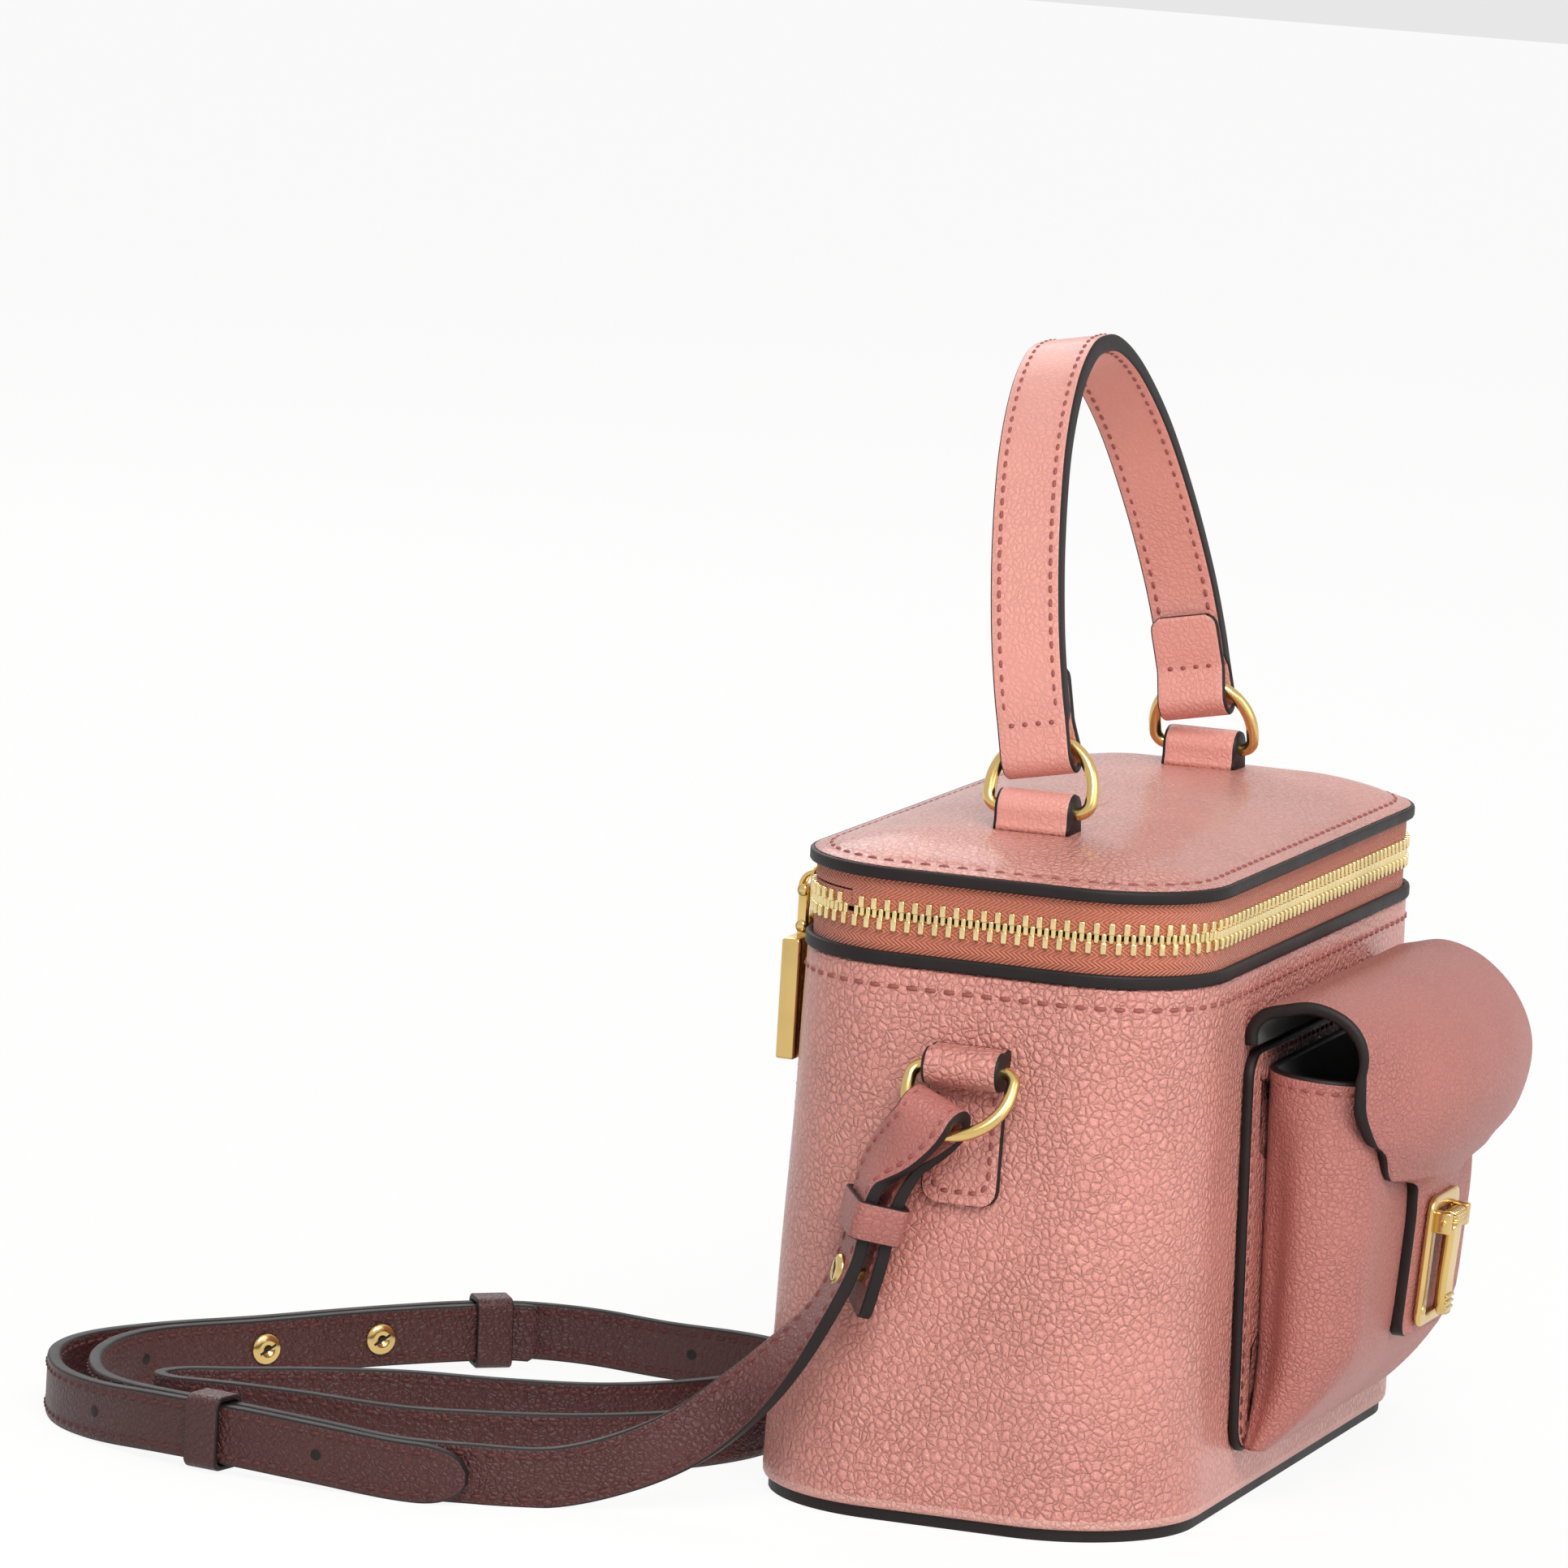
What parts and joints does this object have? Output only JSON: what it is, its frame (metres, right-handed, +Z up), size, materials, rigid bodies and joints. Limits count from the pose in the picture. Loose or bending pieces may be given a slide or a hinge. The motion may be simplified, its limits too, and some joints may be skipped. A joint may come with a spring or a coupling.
{
  "type": "makeup train case",
  "caption": "Small structured box-shaped vanity case in pebbled leather, with a hinged zip lid, top handle, front flap pocket and a shoulder strap on side rings.",
  "frame": {"origin": "centre of the case's flat underside, on the surface it stands on", "axes": "+X along the length of the case, towards the end with the straight run of the strap; +Y towards the back, where the lid's hinge is; +Z up"},
  "size_m": [0.2364, 0.2615, 0.2199],
  "materials": {
    "blush_leather": "pebbled",
    "deep_leather": "pebbled",
    "edge_paint": "semi gloss",
    "gold_metal": "polished",
    "zip_tape": "woven",
    "lining_cloth": "woven",
    "fibre_board": "matte"
  },
  "bodies": {
    "case": {"base_panel": "edge_paint", "wall_leather": "blush_leather", "wall_board": "fibre_board", "wall_lining": "lining_cloth", "floor_board": "fibre_board", "floor_lining": "lining_cloth", "back_panel": "blush_leather", "rim_binding": "edge_paint", "zip_tape_lower": "zip_tape", "zip_teeth_lower": "gold_metal", "zip_end_left": "gold_metal", "zip_end_right": "gold_metal", "hinge_leather_lower": "deep_leather", "side_tab_left": "blush_leather", "side_tab_right": "blush_leather", "pocket_back_plate": "blush_leather", "pocket_body": "blush_leather", "clasp_catch": "gold_metal", "flap_root": "blush_leather", "strap_inner": "deep_leather", "strap_outer": "deep_leather", "strap_keepers": "deep_leather", "strap_studs": "gold_metal"},
    "lid": {"lid_panel": "blush_leather", "lid_board": "fibre_board", "lid_lining": "lining_cloth", "lid_binding": "edge_paint", "zip_tape_upper": "zip_tape", "zip_teeth_upper": "gold_metal", "hinge_leather_upper": "deep_leather", "lid_loop_left": "blush_leather", "lid_loop_right": "blush_leather"},
    "slider": {"zip_slider": "gold_metal"},
    "link": {"puller_link": "gold_metal"},
    "bar": {"puller_bar": "gold_metal"},
    "ring_left": {"handle_ring_left": "gold_metal"},
    "ring_right": {"handle_ring_right": "gold_metal"},
    "handle": {"handle_strap": "blush_leather", "handle_ends": "blush_leather"},
    "flap": {"flap_leather": "blush_leather", "flap_lining": "deep_leather", "clasp_plate": "gold_metal", "clasp_pin": "gold_metal"},
    "lever": {"clasp_lever": "gold_metal"},
    "side_ring_left_body": {"side_ring_left": "gold_metal"},
    "side_ring_right_body": {"side_ring_right": "gold_metal"}
  },
  "joints": [
    {"name": "lid_hinge", "type": "hinge", "parent": "case", "child": "lid", "pos_m": [0, 0.03985, 0.1123], "axis": [-1, 0, 0], "range_deg": [0, 100]},
    {"name": "zip_slide", "type": "slide", "parent": "case", "child": "slider", "axis": [1, 0, 0], "range_m": [0, 0.011]},
    {"name": "link_swing", "type": "hinge", "parent": "slider", "child": "link", "pos_m": [-0.0553, 0.04425, 0.1138], "axis": [1, 0, 0], "range_deg": [0, 12]},
    {"name": "puller_swing", "type": "hinge", "parent": "link", "child": "bar", "pos_m": [-0.0553, 0.04425, 0.1068], "axis": [1, 0, 0], "range_deg": [0, 30]},
    {"name": "handle_sway", "type": "hinge", "parent": "lid", "child": "ring_left", "pos_m": [-0.0536, 0, 0.13325], "axis": [0, 1, 0], "range_deg": [-6, 6]},
    {"name": "handle_sway_right", "type": "hinge", "parent": "lid", "child": "ring_right", "pos_m": [0.0536, 0, 0.13325], "axis": [0, 1, 0], "range_deg": [-6, 6]},
    {"name": "handle_level", "type": "hinge", "parent": "ring_left", "child": "handle", "pos_m": [-0.04921, 0, 0.14675], "axis": [0, 1, 0], "range_deg": [-6.54, 6.54]},
    {"name": "flap_hinge", "type": "hinge", "parent": "case", "child": "flap", "pos_m": [0, -0.049, 0.09864], "axis": [-1, 0, 0], "range_deg": [0, 110]},
    {"name": "lever_swing", "type": "hinge", "parent": "flap", "child": "lever", "pos_m": [0, -0.0725, 0.05423], "axis": [-1, 0, 0], "range_deg": [0, 70]},
    {"name": "side_ring_left_play", "type": "hinge", "parent": "case", "child": "side_ring_left_body", "pos_m": [-0.08905, 0, 0.08826], "axis": [0, 1, 0], "range_deg": [-2, 2]},
    {"name": "side_ring_right_play", "type": "hinge", "parent": "case", "child": "side_ring_right_body", "pos_m": [0.08905, 0, 0.08826], "axis": [0, 1, 0], "range_deg": [-2, 2]}
  ],
  "couplings": [
    {"joint": "handle_sway_right", "follows": "handle_sway", "ratio": 1},
    {"joint": "handle_level", "follows": "handle_sway", "ratio": -1.089}
  ]
}
